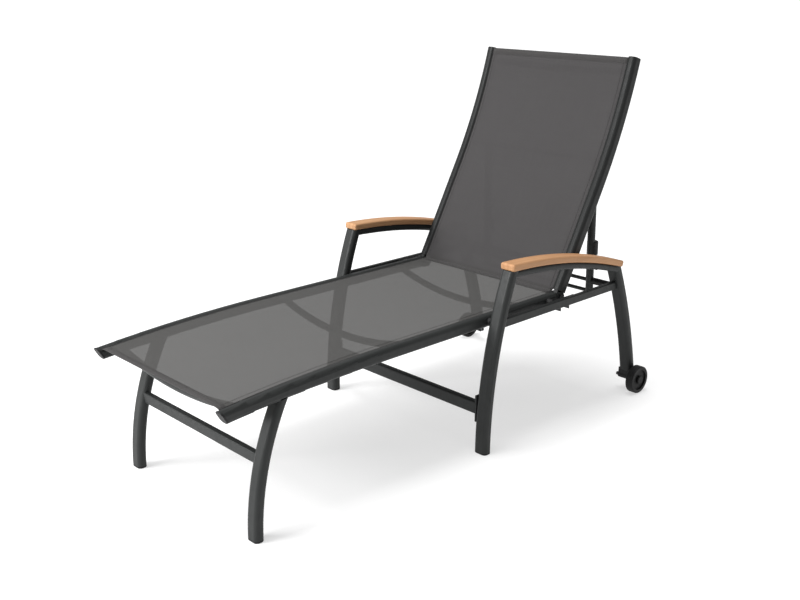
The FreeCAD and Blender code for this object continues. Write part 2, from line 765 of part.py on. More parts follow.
def make_frame_bolts():
    """Bolts from inside the seat rails, through spacers, into the armrest frames."""
    spacers, bolts = [], []
    head = value("hinge_head_height")
    stations = {
        "front": (value("front_bolt_y"), ARM_INNER_X, ARM_INNER_X + 10),
        "rear": (value("rear_bolt_y"), SIDE_RAIL_INNER_X - value("plate_thickness"), SIDE_RAIL_INNER_X),
    }
    for side, sign in SIDES.items():
        for name, (y, spacer_end, bolt_end) in stations.items():
            z = value("seat_axis_z")
            length = spacer_end - RAIL_OUTER_X
            low = RAIL_OUTER_X if sign > 0 else -spacer_end
            sleeve = rod(f"spacer_{side}_{name}_sleeve", size("spacer_radius"), Size(length), low, y, z)
            bore = rod(f"spacer_{side}_{name}_bore", size("frame_bolt_radius"), Size(length), low, y, z)
            spacers.append(cut(f"spacer_{side}_{name}", sleeve, bore))
            reach = bolt_end - RAIL_INNER_X
            shank_low = RAIL_INNER_X if sign > 0 else -bolt_end
            head_low = RAIL_INNER_X - head if sign > 0 else -RAIL_INNER_X
            shank = rod(f"bolt_{side}_{name}_shank", size("frame_bolt_radius"), Size(reach), shank_low, y, z)
            cap = rod(f"bolt_{side}_{name}_head", size("frame_bolt_head_radius"), size("hinge_head_height"),
                      head_low, y, z)
            bolts.append(fuse(f"bolt_{side}_{name}", shank, cap))
    keep("frame_spacers", group("frame_spacers", *spacers))
    keep("frame_bolts", group("frame_bolts", *bolts))


def make_hinge_plates():
    """Plates on the inner faces of the side rails, with two saw teeth along their lower edge."""
    thickness = value("plate_thickness")
    top = value("side_rail_z") + value("side_rail_height") / 2 - 2
    low = top - value("plate_height")
    for side, sign in SIDES.items():
        x_low = SIDE_RAIL_INNER_X - thickness if sign > 0 else -SIDE_RAIL_INNER_X
        plate = box(f"plate_{side}_web", size("plate_thickness"), size("plate_length"), size("plate_height"),
                    x_low, value("plate_front_y"), low)
        teeth = []
        for i in range(2):
            tooth = doc.addObject("Part::Wedge", f"plate_{side}_tooth_{i}")
            length, depth = size("tooth_length"), size("tooth_depth")
            bind(tooth, Xmax=size("plate_thickness"), X2max=size("plate_thickness"), Ymax=depth, Zmax=length)
            tooth.Xmin = tooth.Ymin = tooth.Zmin = tooth.Z2min = tooth.X2min = 0
            bind(tooth, Z2max=Size(2))
            y_end = value("plate_front_y") + 58 + i * value("tooth_pitch")
            # the wedge's Y runs down and its Z runs towards the foot end
            turn = FreeCAD.Rotation(FreeCAD.Vector(-1, 0, 0), FreeCAD.Vector(0, 0, -1), FreeCAD.Vector(0, -1, 0))
            tooth.Placement = FreeCAD.Placement(FreeCAD.Vector(x_low + thickness, y_end, low), turn)
            teeth.append(tooth)
        bore = rod(f"plate_{side}_bore", size("frame_bolt_radius"), Size(20), x_low - 5, value("rear_bolt_y"),
                   value("seat_axis_z"))
        keep(f"hinge_plate_{side}", cut(f"hinge_plate_{side}", fuse(f"plate_{side}_toothed", plate, *teeth), bore))


# ---------------------------------------------------------------- backrest hinge


def hinge_half(name, section, ears):
    """Half a rail hinge about the X axis through its origin: plug and flange along -Y, and one or two ears."""
    reach, flange = size("hinge_reach"), size("hinge_flange")
    base = straight_bar(name + "_flange", section, flange, role="XZ_Plane", middle=False)
    place(base, 0, -(reach - flange).number, 0)
    plug = straight_bar(name + "_plug", plug_section(section), size("plug_length"), role="XZ_Plane", middle=False)
    place(plug, 0, -reach.number, 0)
    solids = [base, plug]
    for i, (low, length, radius) in enumerate(ears):
        disc = rod(f"{name}_disc_{i}", radius, length, low, 0, 0)
        web = box(f"{name}_web_{i}", length, reach - flange, radius * 2, low, -(reach - flange).number,
                  -radius.number)
        solids += [disc, web]
    return fuse(name + "_solid", *solids)


def make_hinges():
    pins = []
    half = value("rail_width") / 2
    ear, gap = size("hinge_ear"), size("hinge_side_gap")
    pin_length = size("rail_width")
    for side, sign in SIDES.items():
        x = sign * value("rail_x")
        fork = hinge_half(f"fork_{side}", RAIL, [
            (-half, ear, size("hinge_ear_radius")),
            (half - ear.number, ear, size("hinge_ear_radius")),
        ])
        bore = rod(f"fork_{side}_bore", size("hinge_pin_radius"), pin_length + 2, -half - 1, 0, 0)
        whole = cut(f"fork_{side}_bored", fork, bore)
        keep(f"seat_hinge_fork_{side}", place(whole, x, value("hinge_y"), value("seat_axis_z")))

        tongue_width = size("rail_width") - ear * 2 - gap * 2
        tongue = hinge_half(f"tongue_{side}", BACK_RAIL, [
            (-tongue_width.number / 2, tongue_width, size("hinge_tongue_radius")),
        ])
        bore = rod(f"tongue_{side}_bore", size("hinge_pin_radius") + size("running_gap"), pin_length + 2,
                   -half - 1, 0, 0)
        whole = cut(f"tongue_{side}_bored", tongue, bore)
        keep(f"back_hinge_tongue_{side}",
             place(whole, x, value("hinge_y"), value("seat_axis_z"), 180 + value("back_angle")))

        shank = rod(f"hinge_pin_{side}_shank", size("hinge_pin_radius"), pin_length, x - half, value("hinge_y"),
                    value("seat_axis_z"))
        heads = [
            rod(f"hinge_pin_{side}_head_{i}", size("hinge_head_radius"), size("hinge_head_height"), low,
                value("hinge_y"), value("seat_axis_z"))
            for i, low in enumerate((x - half - value("hinge_head_height"), x + half))
        ]
        pins.append(fuse(f"hinge_pin_{side}", shank, *heads))
    keep("hinge_pins", group("hinge_pins", *pins))


# ---------------------------------------------------------------- backrest


def back_bar(name, section, lift, wall=None, start=None):
    """A bar that follows the backrest rails, lift in front of their centreline, from start beyond the hinge."""
    body = bent_bar(
        name,
        section,
        size("back_bend_radius") - lift,
        size("back_bend_angle"),
        straight=size("back_straight") - (start or size("hinge_reach")),
        wall=wall,
    )
    return body


def place_back_bar(body, x):
    y, z = back_bend_centre()
    return place(body, x, y, z, 180 + value("back_angle"))


def make_backrest():
    solids = []
    for side, sign in SIDES.items():
        rail = back_bar(f"back_rail_{side}_tube", BACK_RAIL, Size(0), wall=WALL)
        keep(f"back_rail_{side}", place_back_bar(rail, sign * value("rail_x")))
        solid = back_bar(f"back_rail_{side}_solid", BACK_RAIL, Size(0))
        solids.append(place_back_bar(solid, sign * value("rail_x")))
    y, z, heading = back_point(BACK_LENGTH)
    caps = [
        make_end_cap(f"back_cap_{side}", BACK_RAIL, sign * value("rail_x"), y, z, heading, 1)
        for side, sign in SIDES.items()
    ]
    keep("back_end_caps", group("back_end_caps", *caps))
    sling_section = {
        "width": size("rail_x") * 2 - size("rail_width") - size("sling_gap") * 2,
        "height": size("sling_thickness"),
        "corner": Size(1),
    }
    sling = back_bar("back_sling", sling_section, size("sling_lift"), start=size("back_sling_reach"))
    keep("back_sling", place_back_bar(sling, 0))
    for label, distance in (("lower_back_brace", 100.0), ("upper_back_brace", 720.0)):
        y, z, heading = back_point(distance, behind=value("brace_drop"))
        make_brace(label, y, z, size("foot_brace_dip"), heading, solids)


# ---------------------------------------------------------------- prop


def make_prop():
    """The prop stands on the axis of its foot rod, and leans towards the backrest."""
    foot_y, foot_z, lean = value("prop_foot_y"), value("prop_foot_z"), value("prop_lean")
    x, length, drop = value("prop_x"), value("prop_length"), value("prop_tie_drop")
    rod_radius = size("prop_rod_radius")

    def lean_on_foot(obj):
        return place(obj, 0, foot_y, foot_z, lean)

    collars, glides, bushings = [], [], []
    for side, sign in SIDES.items():
        tube = straight_bar(f"prop_{side}_tube", {"radius": size("prop_diameter") / 2},
                            size("prop_length") + size("prop_tie_drop"), role="XY_Plane", middle=False, wall=WALL)
        place(tube, sign * x, 0, -drop)
        bores = [
            rod(f"prop_{side}_bore_{i}", rod_radius, Size(60), sign * x - 30, 0, height)
            for i, height in enumerate((-drop, 0, length))
        ]
        keep(f"prop_leg_{side}", lean_on_foot(cut(f"prop_leg_{side}", tube, *bores)))

        low = value("collar_height") - value("collar_length") / 2
        sleeve = rod(f"collar_{side}_sleeve", size("collar_radius"), size("collar_length"), sign * x,
                     value("collar_offset"), low, axis="Z")
        soft = rounded(f"collar_{side}_soft", sleeve, 4.0, lambda edge: edge.BoundBox.ZLength < 0.1)
        bore = rod(f"collar_{side}_bore", size("prop_diameter") / 2, Size(80), sign * x, 0, low - 10, axis="Z")
        collars.append(cut(f"collar_{side}", soft, bore))

        span = value("glide_length")
        low = RAIL_INNER_X + 1 if sign > 0 else -RAIL_INNER_X - 1 - span
        sleeve = rod(f"glide_{side}_sleeve", size("glide_radius"), Size(span), low, 0, length)
        bore = rod(f"glide_{side}_bore", rod_radius, Size(span), low, 0, length)
        glides.append(cut(f"glide_{side}", sleeve, bore))

        low = ARM_INNER_X - value("bushing_length") if sign > 0 else -ARM_INNER_X
        ring = rod(f"bushing_{side}_ring", size("bushing_radius"), size("bushing_length"), low, foot_y, foot_z)
        hole = rod(f"bushing_{side}_hole", rod_radius + size("running_gap"), size("bushing_length"), low,
                   foot_y, foot_z)
        solid = rear_leg(f"bushing_{side}_seat", sign * value("arm_x"))
        bushings.append(cut(f"bushing_{side}", ring, hole, solid))
    keep("prop_collars", lean_on_foot(group("prop_collars", *collars)))
    keep("prop_glides", lean_on_foot(group("prop_glides", *glides)))
    keep("prop_bushings", group("prop_bushings", *bushings))
    for label, half, height in (
        ("prop_tie_rod", x + value("prop_diameter") / 2, -drop),
        ("prop_foot_rod", ARM_INNER_X + 6, 0),
        ("prop_top_rod", RAIL_INNER_X + 1 + value("glide_length"), length),
    ):
        bar = rod(label + "_bar", rod_radius, Size(2 * half), -half, 0, height)
        keep(label, lean_on_foot(group(label, bar)))


# ---------------------------------------------------------------- wheels


def make_wheels():
    y, radius = value("wheel_y"), value("wheel_radius")
    axles, washers = [], []
    half = value("wheel_width") / 2
    for side, sign in SIDES.items():
        x = sign * value("wheel_x")
        disc = rod(f"wheel_{side}_disc", size("wheel_radius"), size("wheel_width"), x - half, y, radius)
        tread = rounded(f"wheel_{side}_tread", disc, value("wheel_round"), lambda edge: edge.Curve.TypeId ==
                        "Part::GeomCircle")
        recesses = []
        for i, low in enumerate((x - half, x + half - value("wheel_recess_depth"))):
            outer = rod(f"wheel_{side}_recess_{i}", size("wheel_recess_radius"), size("wheel_recess_depth"), low, y,
                        radius)
            inner = rod(f"wheel_{side}_hub_{i}", size("hub_radius"), size("wheel_recess_depth"), low, y, radius)
            recesses.append(cut(f"wheel_{side}_ring_{i}", outer, inner))
        bore = rod(f"wheel_{side}_bore", size("axle_radius") + size("running_gap"), size("wheel_width"), x - half,
                   y, radius)
        keep(f"wheel_{side}", cut(f"wheel_{side}", tread, bore, *recesses))
        cap_low = x + half if sign > 0 else x - half - value("hub_cap_height")
        dome = rod(f"hub_cap_{side}_disc", size("hub_radius") - 1, size("hub_cap_height"), cap_low, y, radius)
        outer_x = x + sign * (half + value("hub_cap_height"))
        keep(f"hub_cap_{side}",
             rounded(f"hub_cap_{side}", dome, 2.0, lambda edge: abs(edge.BoundBox.Center.x - outer_x) < 0.1))

        carrier_half = value("arm_tube_width") / 2
        axle_end = value("wheel_x") + half - 2
        length = axle_end - value("axle_tip_x")
        low = value("axle_tip_x") if sign > 0 else -axle_end
        axle = rod(f"axle_{side}_rod", size("axle_radius"), Size(length), low, y, radius)
        tip_x = sign * value("axle_tip_x")
        axles.append(rounded(f"axle_{side}", axle, 4.0, lambda edge: abs(edge.BoundBox.Center.x - tip_x) < 0.1))
        bore = rod(f"axle_{side}_bore", size("axle_radius"), Size(length), low, y, radius)
        boss = rod(f"carrier_{side}_boss", size("carrier_radius"), size("arm_tube_width"),
                   sign * value("arm_x") - carrier_half, y, radius)
        block = box(f"carrier_{side}_block", size("arm_tube_width"), Size(34), Size(26),
                    sign * value("arm_x") - carrier_half, y - 8, radius)
        solid = rear_leg(f"rear_leg_{side}_plugged", sign * value("arm_x"))
        keep(f"wheel_carrier_{side}",
             cut(f"wheel_carrier_{side}", fuse(f"carrier_{side}_solid", boss, block), solid, bore))
        gap_low = value("arm_x") + carrier_half
        gap_high = value("wheel_x") - half - 0.3
        low = gap_low if sign > 0 else -gap_high
        ring = rod(f"washer_{side}_ring", size("washer_radius"), Size(gap_high - gap_low), low, y, radius)
        washers.append(cut(f"washer_{side}", ring, bore))
    keep("wheel_axles", group("wheel_axles", *axles))
    keep("wheel_spacers", group("wheel_spacers", *washers))


# ---------------------------------------------------------------- whole lounger


def check_and_write():
    doc.recompute()
    for obj in doc.Objects:
        if "Invalid" in obj.State or "Error" in obj.State:
            raise RuntimeError(f"{obj.Name} did not recompute: {obj.State}")
    os.makedirs("parts", exist_ok=True)
    for label, obj in parts.items():
        shape = obj.Shape
        if shape.isNull() or not shape.isValid() or not shape.Solids:
            raise RuntimeError(f"{label} has no valid solid")
        shape.exportStep(f"parts/{label}.step")
        print(label, len(shape.Solids), round(shape.Volume), shape.BoundBox)


make_seat()
seat_solids = make_seat_braces()
make_front_legs(seat_solids)
make_armrest_frames()
make_low_crossbar()
make_frame_bolts()
make_hinge_plates()
make_hinges()
make_backrest()
make_prop()
make_wheels()
check_and_write()
print(len(parts), "sub-parts")
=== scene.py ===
import json
import math

import bpy
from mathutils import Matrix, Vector


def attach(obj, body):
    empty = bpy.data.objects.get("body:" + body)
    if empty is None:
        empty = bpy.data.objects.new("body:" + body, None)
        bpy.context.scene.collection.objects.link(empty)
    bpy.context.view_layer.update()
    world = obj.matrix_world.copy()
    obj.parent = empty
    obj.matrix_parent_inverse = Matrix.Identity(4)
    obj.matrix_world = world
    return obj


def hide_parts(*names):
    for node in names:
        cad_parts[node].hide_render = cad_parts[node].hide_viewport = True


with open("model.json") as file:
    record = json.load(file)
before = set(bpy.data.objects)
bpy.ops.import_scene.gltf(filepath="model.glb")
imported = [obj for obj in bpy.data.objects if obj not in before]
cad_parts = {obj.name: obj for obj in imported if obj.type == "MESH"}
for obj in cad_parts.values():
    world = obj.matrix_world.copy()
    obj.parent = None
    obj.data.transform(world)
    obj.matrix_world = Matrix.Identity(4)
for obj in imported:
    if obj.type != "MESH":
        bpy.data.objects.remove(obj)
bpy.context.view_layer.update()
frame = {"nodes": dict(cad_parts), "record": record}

# The rails' centrelines in metres: the same straights and bends as the CAD rails.
SEAT_BEND_Y = -0.250  # where the seat rails start to curve down towards the foot end
SEAT_BEND_RADIUS = 5.950
BACK_ANGLE = math.radians(61)  # slope of the backrest's straight lower length
BACK_STRAIGHT = 0.352
BACK_BEND_RADIUS = 1.780

SLING_LIFT = 0.0170  # sling surface above the rails' centrelines
SLING_HALF = 0.2712  # half the sling's width, up to the rails' grooves
SLING_SAG = 0.003  # how deep the sling sags along its middle line
SAG_REACH = 0.12  # distance from a hem over which the sag builds up
EDGE_CURVE = 0.020  # width over which the sling's edge curves down into the rail
EDGE_DROP = 0.0038
ACROSS_PITCH = 0.0085  # spacing of the sling's vertices across it and along it
ALONG_PITCH = 0.012

# Where each sling starts and ends, as distances along the rails from the hinge axis.
SEAT_SLING_START = 0.0155
SEAT_SLING_END = 1.2060
BACK_SLING_START = 0.0045
BACK_SLING_END = 0.7590
CORNER_END = 0.0215  # nearer the hinge than this, the sling is narrower and clears the hinge's ears
CORNER_HALF = 0.2655

HEM_WIDTH = 0.020
HEM_THICKNESS = 0.0016
HEM_SHIFT = 0.002  # how far the whole hem is set outwards along the rails
HEM_FOLD_DEPTH = 0.0012
HEM_EDGE = 0.0004  # narrow strips beside the hem's edges keep its faces shaded flat
HEM_FLAT_START = 0.004  # where the rounded fold has passed into the flat hem
HEM_PLUMPNESS = 1.3
HEM_STITCH_ROWS = (0.0045, 0.0085)  # distances from the hem's inner edge
HEM_STITCH_MARGIN = 0.008
HEM_STITCH_RISE = 0.65  # height of the stitches above the cloth, as a share of the hem's thickness

CORD_RADIUS = 0.0026
CORD_INSET = 0.0004
CORD_FLATTENING = 0.8
CORD_SIDES = 10
CORD_END_GAP = 0.001

STITCH_PITCH = 0.0052
STITCH_LENGTH = 0.0036
STITCH_WIDTH = 0.00045  # half sizes of a stitch across its length
STITCH_HEIGHT = 0.0004
STITCH_INSET = 0.0125  # from the sling's edge to the stitches along the cord
STITCH_RISE = 0.0003
STITCH_END_GAP = 0.004

SURFACE_STEP = 0.001  # distance used to measure the sling's directions at a point

JOINTS = {joint["name"]: joint for joint in frame["record"]["behaviour"]["joints"]}
HINGE = Vector(JOINTS["backrest_recline"]["pos_m"])


# ---------------------------------------------------------------- the rails' centrelines


def seat_path(s):
    """Point and heading on the seat rails' centreline, s metres from the hinge axis towards the foot end."""
    straight = min(s, HINGE.y - SEAT_BEND_Y)
    turn = max(0.0, s - straight) / SEAT_BEND_RADIUS
    y = HINGE.y - straight - SEAT_BEND_RADIUS * math.sin(turn)
    z = HINGE.z - SEAT_BEND_RADIUS * (1 - math.cos(turn))
    return y, z, turn


def seat_point(x, s, lift):
    y, z, turn = seat_path(s)
    return Vector((x, y - lift * math.sin(turn), z + lift * math.cos(turn)))


def back_point(x, s, lift):
    """Point in front of the backrest rails' centreline, s metres from the hinge axis upwards."""
    straight = min(s, BACK_STRAIGHT)
    heading = BACK_ANGLE + max(0.0, s - straight) / BACK_BEND_RADIUS
    y = HINGE.y + straight * math.cos(BACK_ANGLE)
    z = HINGE.z + straight * math.sin(BACK_ANGLE)
    y += BACK_BEND_RADIUS * (math.sin(heading) - math.sin(BACK_ANGLE))
    z -= BACK_BEND_RADIUS * (math.cos(heading) - math.cos(BACK_ANGLE))
    return Vector((x, y - lift * math.sin(heading), z + lift * math.cos(heading)))


# ---------------------------------------------------------------- materials


class Shader:
    """A Principled material with short calls for its procedural textures."""

    def __init__(self, name, **constants):
        self.material = bpy.data.materials.new(name)
        self.material.use_nodes = True
        self.tree = self.material.node_tree
        self.bsdf = self.tree.nodes["Principled BSDF"]
        for socket, value in constants.items():
            self.bsdf.inputs[socket.replace("_", " ")].default_value = value

    def node(self, kind, **settings):
        node = self.tree.nodes.new(kind)
        for key, value in settings.items():
            setattr(node, key, value)
        return node

    def link(self, source, target):
        self.tree.links.new(source, target)

    def coordinates(self, scale, output="Object"):
        source = self.node("ShaderNodeTexCoord")
        mapping = self.node("ShaderNodeMapping")
        mapping.inputs["Scale"].default_value = scale
        self.link(source.outputs[output], mapping.inputs["Vector"])
        return mapping.outputs["Vector"]

    def noise(self, vector, scale, detail=3.0, roughness=0.5, distortion=0.0):
        node = self.node("ShaderNodeTexNoise")
        for socket, value in (("Scale", scale), ("Detail", detail), ("Roughness", roughness),
                              ("Distortion", distortion)):
            node.inputs[socket].default_value = value
        self.link(vector, node.inputs["Vector"])
        return node.outputs["Fac"]

    def wave(self, vector, scale, direction, distortion=0.0, detail=0.0):
        node = self.node("ShaderNodeTexWave", wave_type="BANDS", wave_profile="SIN",
                         bands_direction=direction)
        for socket, value in (("Scale", scale), ("Distortion", distortion), ("Detail", detail)):
            node.inputs[socket].default_value = value
        self.link(vector, node.inputs["Vector"])
        return node.outputs["Fac"]

    def math(self, operation, first, second):
        node = self.node("ShaderNodeMath", operation=operation)
        for index, value in enumerate((first, second)):
            if isinstance(value, (int, float)):
                node.inputs[index].default_value = value
            else:
                self.link(value, node.inputs[index])
        return node.outputs[0]

    def ramp(self, factor, stops):
        node = self.node("ShaderNodeValToRGB")
        elements = node.color_ramp.elements
        while len(elements) < len(stops):
            elements.new(0.5)
        for element, (position, colour) in zip(elements, stops):
            element.position = position
            element.color = (*colour, 1) if len(colour) == 3 else (*colour * 3, 1)
        self.link(factor, node.inputs["Fac"])
        return node.outputs["Color"]

    def mix(self, factor, first, second):
        node = self.node("ShaderNodeMix", data_type="RGBA", blend_type="MIX")
        for socket, value in (("Factor", factor), ("A", first), ("B", second)):
            target = next(i for i in node.inputs if i.name == socket and i.enabled)
            if isinstance(value, (int, float)):
                target.default_value = value
            elif isinstance(value, tuple):
                target.default_value = (*value, 1)
            else:
                self.link(value, target)
        return next(o for o in node.outputs if o.enabled)

    def colour(self, socket):
        self.link(socket, self.bsdf.inputs["Base Color"])

    def roughness(self, factor, low, high):
        self.link(self.ramp(factor, [(0.3, (low,)), (0.7, (high,))]), self.bsdf.inputs["Roughness"])

    def bump(self, height, distance, strength=1.0):
        node = self.node("ShaderNodeBump")
        node.inputs["Distance"].default_value = distance
        node.inputs["Strength"].default_value = strength
        self.link(height, node.inputs["Height"])
        self.link(node.outputs["Normal"], self.bsdf.inputs["Normal"])


def powder_coat(name, dark, light, low=0.40, high=0.52):
    """Satin powder coat: a fine orange-peel skin over an even dark colour."""
    shader = Shader(name, IOR=1.45, Specular_IOR_Level=0.3)
    vector = shader.coordinates((1, 1, 1))
    cloud = shader.noise(vector, 9.0, detail=4.0)
    grain = shader.noise(vector, 700.0, detail=2.0)
    tone = shader.ramp(cloud, [(0.35, dark), (0.68, light)])
    shader.colour(shader.mix(0.10, tone, shader.ramp(grain, [(0.35, dark), (0.65, light)])))
    shader.roughness(shader.noise(vector, 60.0, detail=3.0), low, high)
    peel = shader.noise(vector, 260.0)
    shader.bump(shader.math("ADD", shader.math("MULTIPLY", grain, 0.6), peel), 0.00012, 0.6)
    return shader.material


def moulded_plastic(name, dark, light, low=0.5, high=0.66, scratches=0.0):
    """Black moulded plastic with a fine eroded texture."""
    shader = Shader(name, IOR=1.48, Specular_IOR_Level=0.3)
    vector = shader.coordinates((1, 1, 1))
    grain = shader.noise(vector, 1100.0, detail=2.0)
    cloud = shader.noise(vector, 22.0, detail=5.0)
    shader.colour(shader.ramp(cloud, [(0.3, dark), (0.72, light)]))
    shader.roughness(cloud, low, high)
    shader.bump(shader.math("ADD", grain, shader.math("MULTIPLY", cloud, scratches)), 0.00015, 0.7)
    return shader.material


def teak(name):
    """Oiled teak: long grain streaks, darker growth lines and short open pores along the slat."""
    shader = Shader(name, IOR=1.45, Specular_IOR_Level=0.35)
    along = shader.coordinates((1, 0.045, 1))
    streaks = shader.noise(along, 130.0, detail=6.0, roughness=0.62, distortion=0.35)
    growth = shader.wave(shader.coordinates((1, 0.10, 0.6)), 16.0, "X", distortion=5.5, detail=3.0)
    patches = shader.noise(shader.coordinates((1, 0.35, 1)), 9.0, detail=3.0)
    pores = shader.noise(shader.coordinates((1, 0.03, 1)), 900.0, detail=2.0)
    base = shader.ramp(streaks, [(0.25, (0.353, 0.172, 0.077)), (0.48, (0.437, 0.228, 0.109)),
                                 (0.75, (0.512, 0.290, 0.150))])
    lines = shader.ramp(growth, [(0.10, (0.302, 0.139, 0.060)), (0.55, (0.504, 0.281, 0.143))])
    tones = shader.ramp(patches, [(0.3, (0.420, 0.197, 0.092)), (0.7, (0.504, 0.302, 0.155))])
    toned = shader.mix(0.30, shader.mix(0.30, base, lines), tones)
    pored = shader.mix(shader.ramp(pores, [(0.60, (0.0,)), (0.74, (0.55,))]), toned, (0.202, 0.092, 0.042))
    shader.colour(pored)
    shader.roughness(streaks, 0.46, 0.62)
    raised = shader.math("MULTIPLY", streaks, 0.5)
    height = shader.math("SUBTRACT", raised, shader.math("MULTIPLY", pores, 0.8))
    shader.bump(height, 0.00018, 0.7)
    return shader.material


def sling_mesh(name, alpha, dark, light, pitch=0.0016):
    """Woven mesh of coated threads. The map runs in metres across and along the sling: threads follow it."""
    shader = Shader(name, IOR=1.42, Alpha=alpha, Roughness=0.72, Specular_IOR_Level=0.25, Sheen_Weight=0.04)
    vector = shader.coordinates((1, 1, 1), output="UV")
    per_metre = 2 * math.pi / (20 * pitch)
    warp = shader.wave(vector, per_metre, "X")
    weft = shader.wave(vector, per_metre, "Y")
    cross = shader.math("MULTIPLY", warp, weft)
    weave = shader.math("ADD", shader.math("MULTIPLY", warp, 0.55), shader.math("MULTIPLY", weft, 0.45))
    streak = shader.noise(shader.coordinates((1, 0.012, 1), output="UV"), 520.0, detail=3.0)
    slub = shader.noise(shader.coordinates((0.012, 1, 1), output="UV"), 520.0, detail=3.0)
    cloud = shader.noise(vector, 6.0, detail=3.0)
    tone = shader.ramp(weave, [(0.05, dark), (0.85, light)])
    threads = shader.math("ADD", shader.math("MULTIPLY", streak, 0.5), shader.math("MULTIPLY", slub, 0.5))
    toned = shader.mix(0.22, tone, shader.ramp(threads, [(0.38, dark), (0.62, light)]))
    mean = tuple((a + b) / 2 for a, b in zip(dark, light))
    shader.colour(shader.mix(0.12, toned, shader.ramp(cloud, [(0.3, dark), (0.7, mean)])))
    shader.bump(shader.math("ADD", weave, cross), 0.00025, 0.8)
    return shader.material


def thread(name, colour):
    shader = Shader(name, Roughness=0.8, Specular_IOR_Level=0.2)
    vector = shader.coordinates((1, 1, 1))
    twist = shader.wave(vector, 240.0, "DIAGONAL")
    shader.colour(shader.ramp(twist, [(0.2, tuple(c * 0.7 for c in colour)), (0.8, colour)]))
    shader.bump(twist, 0.0001, 0.6)
    return shader.material


def brushed_metal(name, dark, light):
    shader = Shader(name, Metallic=0.8, IOR=1.6)
    vector = shader.coordinates((1, 1, 1))
    marks = shader.noise(vector, 420.0, detail=4.0)
    shader.colour(shader.ramp(marks, [(0.3, dark), (0.7, light)]))
    shader.roughness(marks, 0.34, 0.5)
    shader.bump(marks, 0.00008, 0.6)
    return shader.material


def floor_material():
    """White floor that glows a little, so that shadows on it stay pale."""
    shader = Shader("floor_white", Roughness=0.85, Specular_IOR_Level=0.1, Emission_Strength=0.53,
                    Emission_Color=(1, 1, 1, 1))
    vector = shader.coordinates((1, 1, 1))
    cloud = shader.noise(vector, 1.5)
    shader.colour(shader.ramp(cloud, [(0.3, (0.52, 0.52, 0.52)), (0.7, (0.53, 0.53, 0.53))]))
    return shader.material


MATERIALS = {
    "frame": powder_coat("powder_coat", (0.0165, 0.0180, 0.0178), (0.0210, 0.0226, 0.0222)),
    # painted shade: the backrest rails use the frame's coat made darker, standing in for the shade that
    # falls on them
    "back_rail": powder_coat("back_rail_shaded_coat", (0.0085, 0.0092, 0.0091), (0.0110, 0.0119, 0.0117)),
    "fitting": powder_coat("fitting_coat", (0.010, 0.011, 0.011), (0.015, 0.016, 0.016)),
    "teak": teak("oiled_teak"),
    "plastic": moulded_plastic("black_plastic", (0.0065, 0.0065, 0.0068), (0.0115, 0.0115, 0.0120)),
    "wheel": moulded_plastic("wheel_rubber", (0.0022, 0.0022, 0.0024), (0.0050, 0.0049, 0.0048),
                             scratches=0.8),
    "fastener": brushed_metal("dark_steel", (0.035, 0.036, 0.037), (0.075, 0.077, 0.078)),
}
SLINGS = {
    "base": sling_mesh("woven_seat", 0.950, (0.0400, 0.0390, 0.0376), (0.0670, 0.0656, 0.0632)),
    # painted shade: the backrest sling is the seat's fabric in a darker colour, standing in for the lesser
    # light on the backrest
    "backrest": sling_mesh("woven_back_shaded", 0.996, (0.0340, 0.0323, 0.0327), (0.0572, 0.0542, 0.0551)),
}
SLING_DOUBLE = sling_mesh("woven_sling_double", 1.0, (0.0340, 0.0325, 0.0322), (0.0570, 0.0545, 0.0540))
SLING_EDGE = sling_mesh("sling_edge", 1.0, (0.014, 0.014, 0.014), (0.024, 0.023, 0.023))
STITCH = thread("sewing_thread", (0.037, 0.036, 0.035))

SLOTS = {entry["node"]: entry["material_slot"] for entry in frame["record"]["subparts"]}
# the backrest rails and their end caps take the darker copy of the frame coat, which is painted shade
SLOTS.update(back_rail_left="back_rail", back_rail_right="back_rail", back_end_caps="back_rail")
for node_name, node in frame["nodes"].items():
    finish = MATERIALS.get(SLOTS[node_name])
    if finish:
        for material_slot in node.material_slots:
            material_slot.material = finish


# ---------------------------------------------------------------- meshes


def new_mesh(name, vertices, faces, material, body, uvs=None):
    """A smooth-shaded sling piece that rides on a body."""
    mesh = bpy.data.meshes.new(name)
    mesh.from_pydata(vertices, [], faces)
    if uvs:
        layer = mesh.uv_layers.new(name="UVMap")
        for loop in mesh.loops:
            layer.data[loop.index].uv = uvs[loop.vertex_index]
    mesh.polygons.foreach_set("use_smooth", [True] * len(mesh.polygons))
    mesh.materials.append(material)
    mesh.update()
    obj = bpy.data.objects.new(name, mesh)
    bpy.context.scene.collection.objects.link(obj)
    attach(obj, body)
    return obj


def grid(columns, rows, closed=False):
    """Quads over a grid of vertices stored row by row; closed joins the last column to the first."""
    wrap = columns if closed else columns - 1
    return [
        (r * columns + c, r * columns + (c + 1) % columns, (r + 1) * columns + (c + 1) % columns,
         (r + 1) * columns + c)
        for r in range(rows - 1)
        for c in range(wrap)
    ]


def steps(start, end, pitch):
    count = max(2, round(abs(end - start) / pitch))
    return [start + (end - start) * i / count for i in range(count + 1)]


